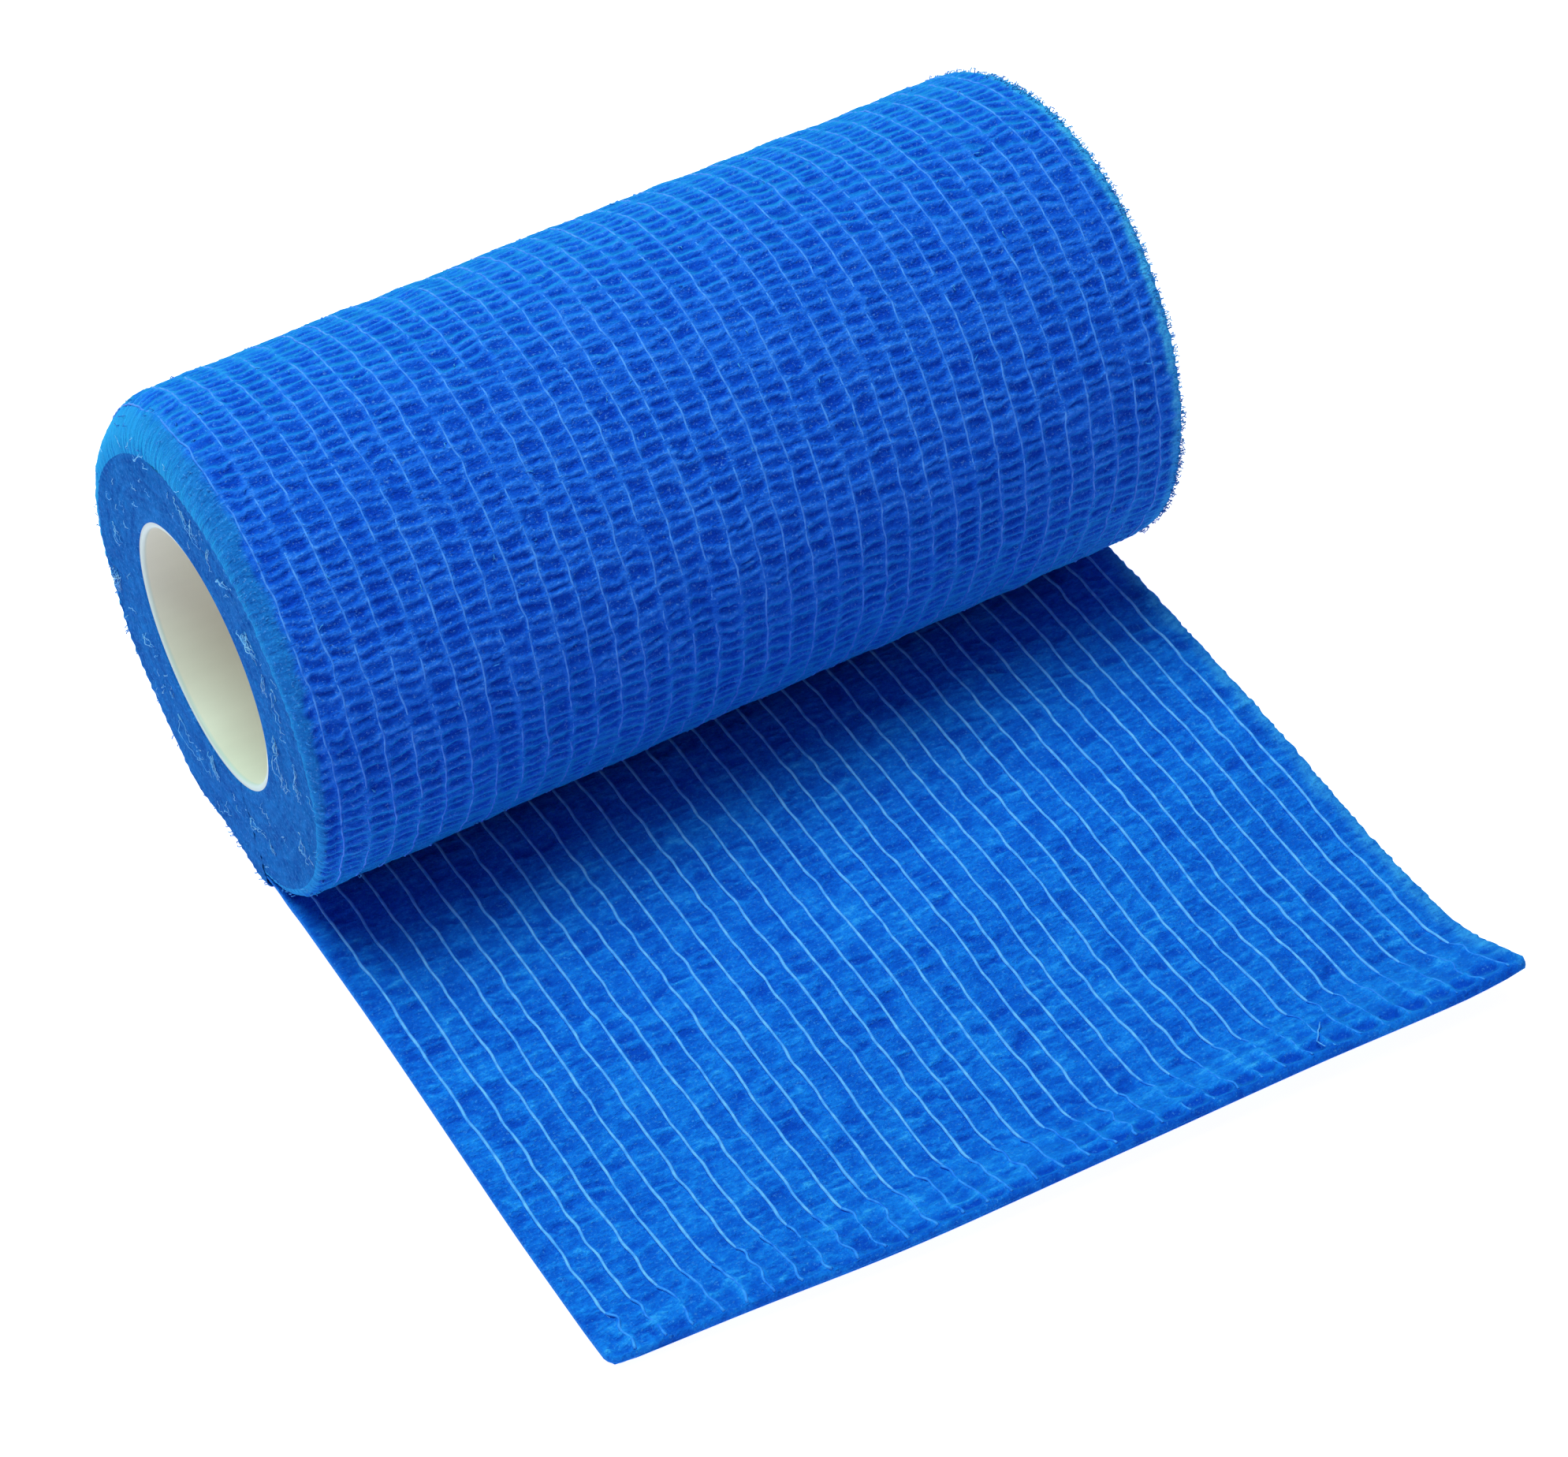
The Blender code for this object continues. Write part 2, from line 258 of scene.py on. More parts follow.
# The threads' sizes, how far they lie in or stand out of the cloth, and where the taut ones end near the cut
threads = {
    "rollRadius": 0.13, "tailRadius": 0.175, "stubRadius": 0.15, "sides": 5, "rollStep": 0.5, "tailStep": 0.6,
    "rollReach": 27, "rollSink": 0.12, "rollRise": 0.13, "tailSink": 0.16, "tailRise": 0.24,
    "endAcross": [-48, -17, 0, 40, 48], "endForward": [74.5, 76.6, 78.0, 79.8, 80.2], "endUneven": 0.6,
    "stubShift": 0.6, "stubWander": 0.35, "stubPoints": 18,
}


def slackLine(thread, along):  # how far to the side a slack thread lies
    return threads["stubShift"] + threads["stubWander"] * smoothNoise(thread, along / 1.5, 72)


def toSlackThread(across, along):  # distance to the nearest slack thread
    place = (across - weave["firstThread"]) / weave["threadPitch"]
    place = place - slackLine(place, along) / weave["threadPitch"]
    return np.abs(place - np.round(place)) * weave["threadPitch"]


def rumple(across, along):  # the outer turn isn't wound quite evenly
    return 0.07 * smoothNoise(across / 7, along / 6, 31) + 0.13 * smoothNoise(across / 3.4, along / 8, 34)


def surfaceNormals(grid):
    along, across = np.gradient(grid, axis=0), np.gradient(grid, axis=1)
    normal = np.cross(across, along)
    return normal / np.linalg.norm(normal, axis=-1, keepdims=True)


def gridPiece(name, points, under, steps, material, values, sharpRim=False):
    # A grid is added and its points are moved to their places. Under it goes a coarser grid that closes the
    # piece: under has the places of its inner points, and steps says how many fine cells a coarse one spans
    rows, columns = points.shape[0] - 1, points.shape[1] - 1
    bpy.ops.object.select_all(action="DESELECT")
    bpy.ops.mesh.primitive_grid_add(x_subdivisions=columns, y_subdivisions=rows, size=1)
    piece = bpy.context.object
    piece.name = piece.data.name = name
    mesh = piece.data
    mesh.vertices.foreach_set("co", (points * mm).astype(np.float32).ravel())
    work = bmesh.new()
    work.from_mesh(mesh)
    work.verts.ensure_lookup_table()
    uvs = work.loops.layers.uv.active
    if sharpRim:
        for edge in work.edges:
            edge.smooth = not edge.is_boundary
    down, over = rows // steps[0], columns // steps[1]

    def fine(i, j):
        return work.verts[i * (columns + 1) + j]

    nodes = {}
    for i in range(down + 1):
        for j in range(over + 1):
            if 0 < i < down and 0 < j < over:
                nodes[i, j] = work.verts.new(under[i * steps[0], j * steps[1]] * mm)
            else:
                nodes[i, j] = None
    work.verts.ensure_lookup_table()
    for key, vert in nodes.items():
        if vert is None:
            nodes[key] = fine(key[0] * steps[0], key[1] * steps[1])

    def side(start, end):  # the points from one corner of a coarse cell up to the next
        (i, j), (k, l) = start, end
        onRim = (i == k and i in (0, down)) or (j == l and j in (0, over))
        if not onRim:
            return [(nodes[i, j], start)]
        count = steps[0] if i != k else steps[1]
        spots = [(i + (k - i) * n / count, j + (l - j) * n / count) for n in range(count)]
        return [(fine(round(a * steps[0]), round(b * steps[1])), (a, b)) for a, b in spots]

    for i in range(down):
        for j in range(over):
            corners = [(i, j), (i + 1, j), (i + 1, j + 1), (i, j + 1)]
            loop = sum((side(corners[n], corners[(n + 1) % 4]) for n in range(4)), [])
            face = work.faces.new([vert for vert, spot in loop])
            face.smooth = True
            for corner, (vert, spot) in zip(face.loops, loop):
                corner[uvs].uv = (spot[1] / over, spot[0] / down)
    if work.calc_volume(signed=True) < 0:
        bmesh.ops.reverse_faces(work, faces=work.faces)
    work.to_mesh(mesh)
    work.free()
    mesh.polygons.foreach_set("use_smooth", [True] * len(mesh.polygons))
    for label, field in values.items():
        coarse = field[steps[0]:rows:steps[0], steps[1]:columns:steps[1]]
        width = field.shape[2:] or (1,)
        filled = np.concatenate([field.reshape(-1, *width), coarse.reshape(-1, *width)]).astype(np.float32)
        vector = field.ndim == 3
        attribute = mesh.attributes.new(label, "FLOAT_VECTOR" if vector else "FLOAT", "POINT")
        attribute.data.foreach_set("vector" if vector else "value", filled.ravel())
    mesh.materials.append(material)
    mesh.update()
    return piece


def tubePiece(name, paths, radii, sides, material):
    # Thin closed tubes along the paths, all in one mesh
    points, faces, start = [], [], 0
    for path, radius in zip(paths, radii):
        ahead = np.gradient(path, axis=0)
        ahead /= np.linalg.norm(ahead, axis=1, keepdims=True)
        across = np.cross(ahead, np.array([0.31, 0.17, 0.94]))
        across /= np.linalg.norm(across, axis=1, keepdims=True)
        upward = np.cross(across, ahead)
        turn = 2 * math.pi * np.arange(sides) / sides
        radius = np.broadcast_to(radius, len(path))[:, None, None]
        turn = turn[None, :, None]
        ring = path[:, None] + radius * (across[:, None] * np.cos(turn) + upward[:, None] * np.sin(turn))
        points.append(ring.reshape(-1, 3))
        for i in range(len(path) - 1):
            low, high = start + i * sides, start + (i + 1) * sides
            for j in range(sides):
                k = (j + 1) % sides
                faces.append((low + j, low + k, high + k, high + j))
        last = start + (len(path) - 1) * sides
        faces.append(tuple(start + j for j in reversed(range(sides))))
        faces.append(tuple(last + j for j in range(sides)))
        start += len(path) * sides
    mesh = bpy.data.meshes.new(name)
    mesh.from_pydata((np.vstack(points) * mm).tolist(), [], faces)
    mesh.polygons.foreach_set("use_smooth", [True] * len(mesh.polygons))
    mesh.materials.append(material)
    piece = bpy.data.objects.new(name, mesh)
    scene.collection.objects.link(piece)
    work = bmesh.new()
    work.from_mesh(mesh)
    bmesh.ops.recalc_face_normals(work, faces=work.faces)
    work.to_mesh(mesh)
    work.free()
    return piece


def addGrain(tree, tone, place, size, share, settings):
    # noise with grains of this size in mm, and the tone after it has varied that by its share
    noise = addNode(tree, "TexNoise", {"Scale": 1 / (size * mm), **settings}, {"Vector": place})
    part = addNode(tree, "Math", {"operation": "MULTIPLY_ADD", 1: share, 2: -0.5 * share}, {0: noise})
    return noise, addNode(tree, "Math", {"operation": "ADD"}, {0: tone, 1: part})


# Crepe cohesive cloth: nonwoven polyester drawn up by elastic threads and coated with latex, so it is matt
# with a faint fuzzy sheen. Its colour is painted lighter on the crests and darker in the pockets, as painted
# highlight and painted shade. Fine wrinkles run across, and short fibres, drawn a little coarser than real
# ones so that they show, give it a grain of pale specks
def crepeMaterial(name, look):
    material, tree, shader = newMaterial(name, {
        "Roughness": 0.85, "Specular IOR Level": 0.08, "Sheen Weight": look["sheen"], "Sheen Roughness": 0.4,
        "Sheen Tint": hexColour(look["sheenTint"])})
    weaveAt = addNode(tree, "Attribute", {"attribute_name": "weave"}).outputs["Vector"]
    fray = addNode(tree, "Attribute", {"attribute_name": "fray"}).outputs["Fac"]
    # this attribute holds the cloth's tone with painted highlight on the crests and painted shade in the
    # pockets
    tone = addNode(tree, "Attribute", {"attribute_name": "toneAndShade"}).outputs["Fac"]
    coords = addNode(tree, "TexCoord").outputs["Object"]
    height = None
    for size, stretch, share, lift in look["grain"]:
        place = addNode(tree, "Mapping", {"Scale": stretch}, {"Vector": weaveAt}) if stretch else coords
        noise, tone = addGrain(tree, tone, place, size, share, {"Detail": 2.5, "Roughness": 0.6})
        if lift:
            raised = addNode(tree, "Math", {"operation": "MULTIPLY", 1: lift}, {0: noise})
            if height is not None:
                raised = addNode(tree, "Math", {"operation": "ADD"}, {0: height, 1: raised})
            height = raised
    cloth = addNode(tree, "ValToRGB", links={"Fac": tone})
    slit = addNode(tree, "ValToRGB", links={"Fac": tone})
    setStops(cloth, look["cloth"])
    setStops(slit, look["slit"])
    colour = addNode(tree, "Mix", {"data_type": "RGBA"}, {0: fray, 6: cloth, 7: slit}).outputs[2]
    fibres = addNode(tree, "TexNoise", {
        "Scale": 1 / (look["speckSize"] * mm), "Detail": 3.0, "Roughness": 0.7}, {"Vector": coords})
    specks = addNode(tree, "MapRange", {
        "From Min": 0.57, "From Max": 0.74, "To Max": look["specks"]}, {"Value": fibres})
    # painted sheen: seen at a slant, standing fuzz hides the pockets and the colour is mixed to a
    # paler, greener tint
    slant = addNode(tree, "LayerWeight", {"Blend": 0.5}).outputs["Facing"]
    paintedSheen = addNode(tree, "MapRange", {
        "From Min": 0.31, "From Max": 0.82, "To Max": look["paintedSheenShare"]}, {"Value": slant})
    for cover, code in ((specks, look["fibre"]), (paintedSheen, look["fuzz"])):
        settings = {"data_type": "RGBA", 7: hexColour(code)}
        colour = addNode(tree, "Mix", settings, {0: cover, 6: colour}).outputs[2]
    tree.links.new(colour, shader.inputs["Base Color"])
    bump = addNode(tree, "Bump", {"Strength": 0.9, "Distance": look["bump"] * mm}, {"Height": height})
    tree.links.new(bump.outputs["Normal"], shader.inputs["Normal"])
    return material


# each grain: its size in mm, its stretch across and along the cloth, its share of the colour and the height
rollCloth = crepeMaterial("crepeClothOuterFace", {
    "cloth": [(0.0, "#0036B2"), (0.38, "#0A51CE"), (0.70, "#226AE0"), (1.0, "#4A8AF0")],
    "slit": [(0.15, "#064CA4"), (0.60, "#1C74CC"), (1.0, "#48A8E8")],
    "fibre": "#6CA6F0", "specks": 0.55, "speckSize": 0.30, "sheen": 0.45, "sheenTint": "#00BAD8",
    # the fuzz colour is a painted sheen, mixed in where the cloth is seen at a slant
    "fuzz": "#188ADA", "paintedSheenShare": 0.8, "bump": 0.32,
    "grain": [(4.5, None, 0.40, 0.0), (1.1, (0.5, 1, 1), 0.55, 0.9), (0.45, (0.45, 1, 1), 0.75, 1.0),
              (0.24, None, 0.6, 0.6)],
})
tailCloth = crepeMaterial("crepeClothInnerFace", {
    "cloth": [(0.0, "#0042B7"), (0.40, "#045BCE"), (0.72, "#1076E1"), (1.0, "#3096EE")],
    "slit": [(0.15, "#0860CA"), (0.85, "#3A9CEA")],
    "fibre": "#58ACF0", "specks": 0.40, "speckSize": 0.30, "sheen": 0.20, "sheenTint": "#00A6DC",
    # the fuzz colour is a painted sheen, mixed in where the cloth is seen at a slant
    "fuzz": "#1A86DC", "paintedSheenShare": 0.5, "bump": 0.30,
    "grain": [(3.2, None, 0.9, 0.0), (1.0, (0.6, 1, 1), 0.7, 0.9), (0.42, (0.4, 1, 1), 0.85, 1.0),
              (0.24, None, 0.6, 0.6)],
})


# Covered elastane thread: a stretched core under fine polyester, smoother and paler than the cloth. On the
# roll it lies half buried in the crepe and takes on its blue. Loose polyester fibres are made alike
def threadFinish(name, dark, pale):
    material, tree, shader = newMaterial(name, {"Roughness": 0.6, "Specular IOR Level": 0.15})
    coords = addNode(tree, "TexCoord").outputs["Object"]
    noise = addNode(tree, "TexNoise", {"Scale": 1 / (0.9 * mm), "Detail": 2.0}, {"Vector": coords})
    ramp = addNode(tree, "ValToRGB", links={"Fac": noise})
    setStops(ramp, [(0.3, dark), (0.7, pale)])
    tree.links.new(ramp.outputs["Color"], shader.inputs["Base Color"])
    return material


tautThread = threadFinish("coveredElasticThread", "#3C90EE", "#6CB4FA")
buriedThread = threadFinish("buriedElasticThread", "#2068DA", "#5292EE")
slackThread = threadFinish("slackElasticThread", "#0E6AE0", "#3E96F4")
frayedFibre = threadFinish("frayedPolyesterFibre", "#3894E2", "#98CCF0")
shortFibre = threadFinish("shortPolyesterFibre", "#146ED4", "#4CA4E8")


# Slit cloth edges, pressed together in the roll's ends: dull and felted, with the turns as faint streaks and
# pale fuzz where fibres were cut
def slitEdgeMaterial():
    material, tree, shader = newMaterial("slitClothEdges", {
        "Roughness": 0.95, "Specular IOR Level": 0.06, "Sheen Weight": 0.15, "Sheen Roughness": 0.5,
        "Sheen Tint": hexColour("#0A84D8")})
    tone = addNode(tree, "Attribute", {"attribute_name": "streak"}).outputs["Fac"]
    coords = addNode(tree, "TexCoord").outputs["Object"]
    felt = []
    for size, share in ((2.6, 0.9), (0.8, 0.7), (0.32, 0.9)):
        noise, tone = addGrain(tree, tone, coords, size, share, {"Detail": 3.0, "Roughness": 0.65})
        felt.append(noise)
    ramp = addNode(tree, "ValToRGB", links={"Fac": tone})
    setStops(ramp, [(0.1, "#06489E"), (0.9, "#1A72C6")])
    paleFuzz = addNode(tree, "MapRange", {
        "From Min": 0.56, "From Max": 0.75, "To Max": 0.5}, {"Value": felt[2]})
    settings = {"data_type": "RGBA", 7: hexColour("#5CA4E4")}
    colour = addNode(tree, "Mix", settings, {0: paleFuzz, 6: ramp}).outputs[2]
    tree.links.new(colour, shader.inputs["Base Color"])
    height = addNode(tree, "Math", {"operation": "ADD"}, {0: felt[1], 1: felt[2]})
    bump = addNode(tree, "Bump", {"Strength": 0.9, "Distance": 0.28 * mm}, {"Height": height})
    tree.links.new(bump.outputs["Normal"], shader.inputs["Normal"])
    return material


# Polypropylene core tube, extruded and cut off: a pale grey-green plastic with a soft gloss and faint draw
# lines, another grey on its cut ends. Its thin wall lets light through, which is given as a faint glow
def tubePlasticMaterial():
    material, tree, shader = newMaterial("extrudedPolypropylene", {
        "Roughness": 0.42, "IOR": 1.49, "Emission Color": hexColour("#C8D4C0"), "Emission Strength": 0.12})
    coords = addNode(tree, "TexCoord").outputs["Object"]
    drawn = addNode(tree, "Mapping", {"Scale": (0.02, 0.5, 0.5)}, {"Vector": coords})
    lines = addNode(tree, "TexNoise", {"Scale": 1 / (1.2 * mm), "Detail": 3.0}, {"Vector": drawn})
    ramp = addNode(tree, "ValToRGB", links={"Fac": lines})
    setStops(ramp, [(0.0, "#CCC4B8"), (1.0, "#D6CEC2")])
    along = addNode(tree, "SeparateXYZ", links={"Vector": coords}).outputs["X"]
    fromMiddle = addNode(tree, "Math", {"operation": "ABSOLUTE"}, {0: along})
    cutEnd = addNode(tree, "MapRange", {"From Min": 49.55 * mm, "From Max": 49.8 * mm}, {"Value": fromMiddle})
    settings = {"data_type": "RGBA", 7: hexColour("#B4BEBC")}
    colour = addNode(tree, "Mix", settings, {0: cutEnd, 6: ramp}).outputs[2]
    tree.links.new(colour, shader.inputs["Base Color"])
    bump = addNode(tree, "Bump", {"Strength": 0.15, "Distance": 0.05 * mm}, {"Height": lines})
    tree.links.new(bump.outputs["Normal"], shader.inputs["Normal"])
    return material


endCloth = slitEdgeMaterial()
tubePlastic = tubePlasticMaterial()
print("materials made")

# Roll skin: the outer turn, once round from the peel line, in three pieces that share their border points
skin = {
    "rows": 774, "parts": 3, "rimSteps": 8, "shoulderSteps": 14, "shoulder": 5.4, "middleSteps": 236,
    "teethLeft": 0.10, "teethRight": 0.34, "teethReach": 0.9, "wall": 5.0, "underSteps": (43, 28),
    # how far in from the end the cloth is dull and felted like the slit edges, at angles round the roll
    "feltAngles": [0, 60, 95, 130, 180, 225, 270, 345, 390],
    "feltLeft": [0.35, 0.35, 0.8, 1.9, 2.35, 2.4, 1.6, 0.6, 0.35], "feltRight": 1.5, "paleRight": 0.4,
    "threadTone": 0.12, "threadBand": 0.3,  # the cloth is paler beside a thread
}
half = roll["width"] / 2
angles = roll["peel"] + np.linspace(0, 2 * math.pi, skin["rows"] + 1)


def skinStations(angle, side):
    # Distances from one end of the roll: round the rim, over the shoulder and up to the middle part
    rim = rimRadius(np.array([side]), np.array([angle]))[0]
    turn = np.linspace(0, math.pi / 2, skin["rimSteps"] + 1)
    shoulder = np.linspace(rim, skin["shoulder"], skin["shoulderSteps"] + 1)[1:]
    return np.concatenate([rim * (1 - np.cos(turn)), shoulder])


def rollSkin():
    middle = np.linspace(-half + skin["shoulder"], half - skin["shoulder"], skin["middleSteps"] + 1)[1:-1]
    across = np.array([
        np.concatenate([-half + skinStations(angle, -1.0), middle, half - skinStations(angle, 1.0)[::-1]])
        for angle in angles])
    angle = np.broadcast_to(angles[:, None], across.shape)
    along = alongCloth(angle)
    grid = roundRoll(across, angle, lapRadius(across, angle))
    normals = surfaceNormals(grid)
    outward = np.stack([0 * across, -np.sin(angle), -np.cos(angle)], -1)
    normals = normals * np.sign((normals * outward).sum(-1).mean())
    ridge, pocket = crepe(across, along, rollCrepe)
    fromEnd = half - np.abs(across)
    feltReach = smoothCurve(np.degrees(angle), skin["feltAngles"], skin["feltLeft"])
    feltReach = np.where(across < 0, feltReach, skin["feltRight"])
    feltReach = feltReach * (1 + 0.25 * smoothNoise(across / 1.3, along / 1.1, 33))
    felted = 1 - smoothStep(fromEnd, 0.75 * feltReach - 0.1, 1.15 * feltReach + 0.15)
    fade = 1 - felted
    height = (rollCrepe["ridgeLift"] * ridge - rollCrepe["pocketDepth"] * pocket) * fade
    height = height + rumple(across, along) + 0.04 * smoothNoise(across / 0.8, along / 0.5, 32)
    grid = grid + normals * height[..., None]
    teeth = np.where(across < 0, -skin["teethLeft"], skin["teethRight"]) * (ridge - 0.35 * pocket - 0.3)
    grid[..., 0] += teeth * np.exp(-fromEnd / skin["teethReach"])
    grid[..., 2] = np.maximum(grid[..., 2], 0)
    toThread = np.abs((across - weave["firstThread"]) / weave["threadPitch"] + 0.5) % 1
    toThread = np.abs(toThread - 0.5) * weave["threadPitch"]
    # painted highlight on the crests and painted shade in the pockets go into the colour tone
    middleTone, ridgeHighlightTone, pocketShadeTone = rollCrepe["tone"]
    besideThread = skin["threadTone"] * np.exp(-(toThread / skin["threadBand"]) ** 2)
    toneAndShade = middleTone + (ridgeHighlightTone * ridge - pocketShadeTone * pocket + besideThread) * fade
    toneAndShade = toneAndShade + skin["paleRight"] * felted * (across > 0)
    weaveAt = np.stack([across, along, 0 * across], -1) * mm
    innerRadius = lapRadius(0 * across, angle) - skin["wall"] - rimRadius(across, angle)
    inner = roundRoll(across, angle, innerRadius)
    perPart = skin["rows"] // skin["parts"]
    pieces = []
    for part, label in enumerate(("rollFront", "rollBack", "rollUnder")):
        rows = slice(part * perPart, (part + 1) * perPart + 1)
        values = {"toneAndShade": toneAndShade[rows], "fray": felted[rows], "weave": weaveAt[rows]}
        pieces.append(gridPiece(label, grid[rows], inner[rows], skin["underSteps"], rollCloth, values, True))
    return pieces, grid, normals


rollPieces, skinGrid, skinNormals = rollSkin()
print("roll skin made")

# Roll ends: the slit edges of all the turns, from the rim to the mouth of the tube
ends = {
    "rings": 30, "boreSteps": 5, "boreDepth": 0.8, "boreSlack": 0.4, "turnPitch": 1.0, "turnDepth": 0.06,
    "fuzz": 0.07, "thick": 2.0, "underSteps": (18, 6),
}


def rollEnd(label, side):  # side is -1 for the left end and 1 for the right one
    rim = skinGrid[:, 0 if side < 0 else -1]
    axis = np.array([side * half, 0, axisHeight(side * half)])
    direction = np.stack([0 * angles, -np.sin(angles), -np.cos(angles)], -1)
    inwards = np.array([-side, 0, 0])
    mouth = axis + direction * (roll["boreRadius"] + roll["boreRound"])
    share = np.linspace(0, 1, ends["rings"] + 1)[None, :, None]
    face = rim[:, None] * (1 - share) + mouth[:, None] * share
    lip = []
    for turn in np.linspace(0, math.pi / 2, ends["boreSteps"] + 1)[1:]:
        reach = roll["boreRadius"] + roll["boreRound"] * (1 - math.sin(turn))
        lip.append(axis + direction * reach + inwards * roll["boreRound"] * (1 - math.cos(turn)))
    inside = axis + direction * (roll["boreRadius"] + ends["boreSlack"]) + inwards * ends["boreDepth"]
    face = np.concatenate([face, np.stack(lip, 1), inside[:, None]], 1)
    radius = np.linalg.norm(face[..., 1:] - axis[1:], axis=-1)
    depth = lapRadius(np.zeros(1), angles)[:, None] - radius
    angle = np.broadcast_to(angles[:, None], radius.shape)
    wander = 0.5 * smoothNoise(angle * 3, radius * 0.3, 41)
    groove = 0.5 + 0.5 * np.cos(2 * math.pi * (depth / ends["turnPitch"] + wander))
    column = np.arange(face.shape[1])
    hold = smoothStep(column, 0, 3) * (1 - smoothStep(column, ends["rings"] - 2, ends["rings"]))
    fuzzy = smoothNoise(angle * 26, radius * 1.6, 42) + 0.6 * smoothNoise(angle * 70, radius * 3.1, 43)
    face[..., 0] -= side * hold * (ends["turnDepth"] * groove - ends["fuzz"] * fuzzy)
    face[..., 2] = np.maximum(face[..., 2], 0)
    patches = smoothNoise(angle * 5, depth * 2.2, 44)
    streaks = np.clip(0.5 - 0.12 * (groove - 0.5) + 0.2 * patches + 0.1 * fuzzy, 0, 1)
    back = face + inwards * ends["thick"]
    return gridPiece(label, face, back, ends["underSteps"], endCloth, {"streak": streaks}, True)


endPieces = [rollEnd("endLeft", -1), rollEnd("endRight", 1)]
print("roll ends made")

# Free end: one layer of cloth laid out in front of the roll, lifted in low swells and curled up at its cut
# end. Its rims are rounded: sideIn, sideDepth, cutIn and cutDepth say how far in and down their points lie
sheet = {
    "rows": 240, "columns": 264, "margin": 0.6, "underSteps": (1, 6), "ragged": 0.14,
    "sideIn": [0, 0.04, 0.13, 0.28], "sideDepth": [0.8, 0.55],
    "cutIn": [0.3, 0.12, 0.0, 0.0, 0.0], "cutDepth": [0, 0, 0, 0.55, 0.7], "rootDepth": [1.0, 0.6],
}


def rootPoint(x):
    angle = roll["peel"] + 0 * x
    point = roundRoll(x, angle, lapRadius(x, angle))
    return -point[..., 1], point[..., 2]


def acrossEnd(x, key):  # one of the settings given at places across the free end
    return smoothCurve(x, tail["endAcross"], tail[key])


def cutLine(x):  # how far forward the cut end lies, with its corners a little rounded
    return acrossEnd(x, "cutForward") - rounding(half - np.abs(x), tail["cornerRound"])


def liftedHeight(x, forward):
    height = smoothCurve(forward, tail["courseForward"], tail["courseHeight"])
    for acrossAt, forwardAt, rise, spreadAcross, spreadForward in tail["swells"]:
        offset = ((x - acrossAt) / spreadAcross) ** 2 + ((forward - forwardAt) / spreadForward) ** 2
        height = height + rise * np.exp(-0.5 * offset)
    start = acrossEnd(x, "curlForward")
    share = np.clip((forward - start) / (acrossEnd(x, "cutForward") - start), 0, None)
    return height + acrossEnd(x, "curlRise") * share ** tail["curlPower"]


def upperLine(x, forward):
    root, top = rootPoint(x)
    settle = (top - liftedHeight(x, root)) * (1 - smoothStep(forward - root, 0, tail["settle"]))
    return liftedHeight(x, forward) + settle


def tailPoint(x, forward, depth):
    # A place on the free end: depth is how far it lies under the upper face
    slope = (upperLine(x, forward + 0.05) - upperLine(x, forward - 0.05)) / 0.1
    normal = np.stack([slope, np.ones_like(slope)], -1) / np.sqrt(1 + slope ** 2)[..., None]
    root = rootPoint(x)[0]
    length = (forward - root) / (cutLine(x) - root)
    share = x / roll["width"] + 0.5
    flare = smoothStep(length, tail["flareFrom"][0], 1) * smoothStep(share, tail["flareFrom"][1], 1)
    place = x + tail["driftLeft"] * (1 - share) * length + tail["flareRight"] * flare
    height = upperLine(x, forward) - normal[..., 1] * depth
    return np.stack([place, -forward - normal[..., 0] * depth, height], -1)


def sheetPlaces():
    # The points of the free end's grid: how far across, how far forward and how far under the upper face
    sideIn = np.array(sheet["sideIn"])
    middle = np.linspace(-half + sheet["margin"], half - sheet["margin"], sheet["columns"] + 1)
    stations = np.concatenate([[-half] * 2, -half + sideIn, middle, half - sideIn[::-1], [half] * 2])
    sideDepth = np.concatenate([sheet["sideDepth"], np.zeros(len(stations) - 4), sheet["sideDepth"][::-1]])
    step = np.linspace(0, 1, sheet["rows"] + 1)[:, None]
    x = stations[None, :] + 0 * step
    root = rootPoint(x)[0]
    cut = cutLine(x)
    forward = root + step * (cut - sheet["margin"] - root)
    lastRows = cut[:1] - np.array(sheet["cutIn"])[:, None]
    forward = np.vstack([root[:1], root[:1], forward, lastRows])
    x = np.vstack([x[:1], x[:1], x, np.repeat(x[:1], len(lastRows), 0)])
    sunkSide = rounding(half - np.abs(x), roll["edgeRound"])
    sunk = np.maximum(sunkSide, rounding(cutLine(x) - forward, tail["cutRound"]))
    depth = np.maximum(sunk, sideDepth[None, :])
    depth[-len(lastRows):] = np.maximum(depth[-len(lastRows):], np.array(sheet["cutDepth"])[:, None])
    for row, rootDepth in enumerate(sheet["rootDepth"]):
        depth[row] = np.maximum(depth[row], rootDepth)
    return x, forward, root[0], sunk, depth


# The gathered band: where its deep cells lie and how long they are, what both gain to the right, and how far
# the cells, the walls between them and the pale brows over them go down or stand up
# tones: the walls, brows and plain cloth are lighter, the cells and pockets are darkened as painted shade,
# and the cut edge gets painted shade
band = {
    "cellAt": 1.05, "cellAtGain": 0.6, "cellUneven": 0.25, "cellLong": 0.48, "cellLongGain": 0.30,
    "cellSharp": 3.6, "cellDepth": 0.7, "cellShadeTone": 2.4, "wallLift": 0.14, "wallWidth": 0.3, "wallTone": 0.7,
    "browLift": 0.12, "browWidth": 0.35, "browTone": 0.6, "plainTone": 0.25, "pocketShadeTone": 0.85, "paintedEdgeShade": 0.10,
}


